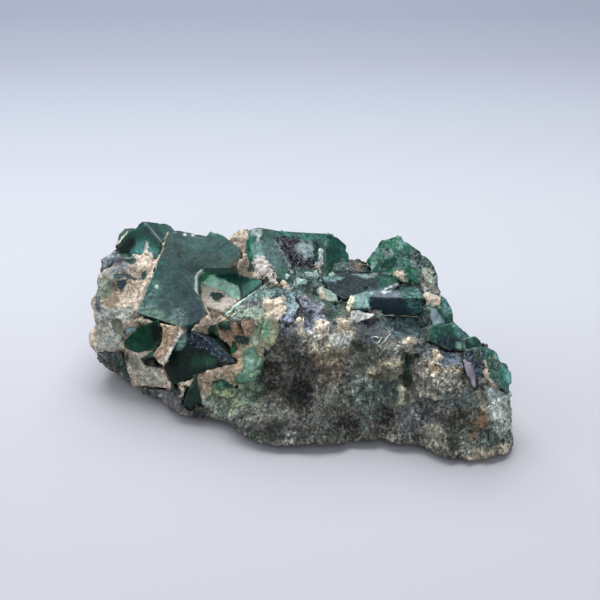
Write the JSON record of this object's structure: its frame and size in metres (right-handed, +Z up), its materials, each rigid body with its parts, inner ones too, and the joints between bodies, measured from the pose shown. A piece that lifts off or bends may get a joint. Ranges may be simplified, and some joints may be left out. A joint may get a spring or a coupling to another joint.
{
  "type": "green fluorite specimen",
  "caption": "Hand-sized mineral specimen: intergrown green fluorite cubes in cream clay, on a rough block of massive fluorite that rests on a flat-cut base.",
  "frame": {"origin": "on the flat base, under the middle of the block", "axes": "+X along the block to the right end as seen from the front, +Y away from the front, +Z up"},
  "size_m": [0.1535, 0.0904, 0.0542],
  "materials": {
    "green_fluorite": "glassy, cloudy green crystal faces with lighter edges",
    "massive_fluorite": "rough, fibrous, mottled grey, brown, black and pale green",
    "clay": "matt cream clay with brown specks and pits"
  },
  "bodies": {
    "root": {"matrix": "massive_fluorite", "clay": "clay", "left_crystals": "green_fluorite", "plate_crystal": "green_fluorite", "dark_crystal": "green_fluorite", "window_crystal": "green_fluorite", "wedge_crystal": "green_fluorite", "back_crystals": "green_fluorite", "peak_crystals": "green_fluorite", "ridge_crystals": "green_fluorite", "corner_crystal": "green_fluorite", "shoulder_crystals": "green_fluorite", "end_crystals": "green_fluorite", "rear_left_crystals": "green_fluorite", "rear_right_crystals": "green_fluorite"}
  },
  "joints": []
}
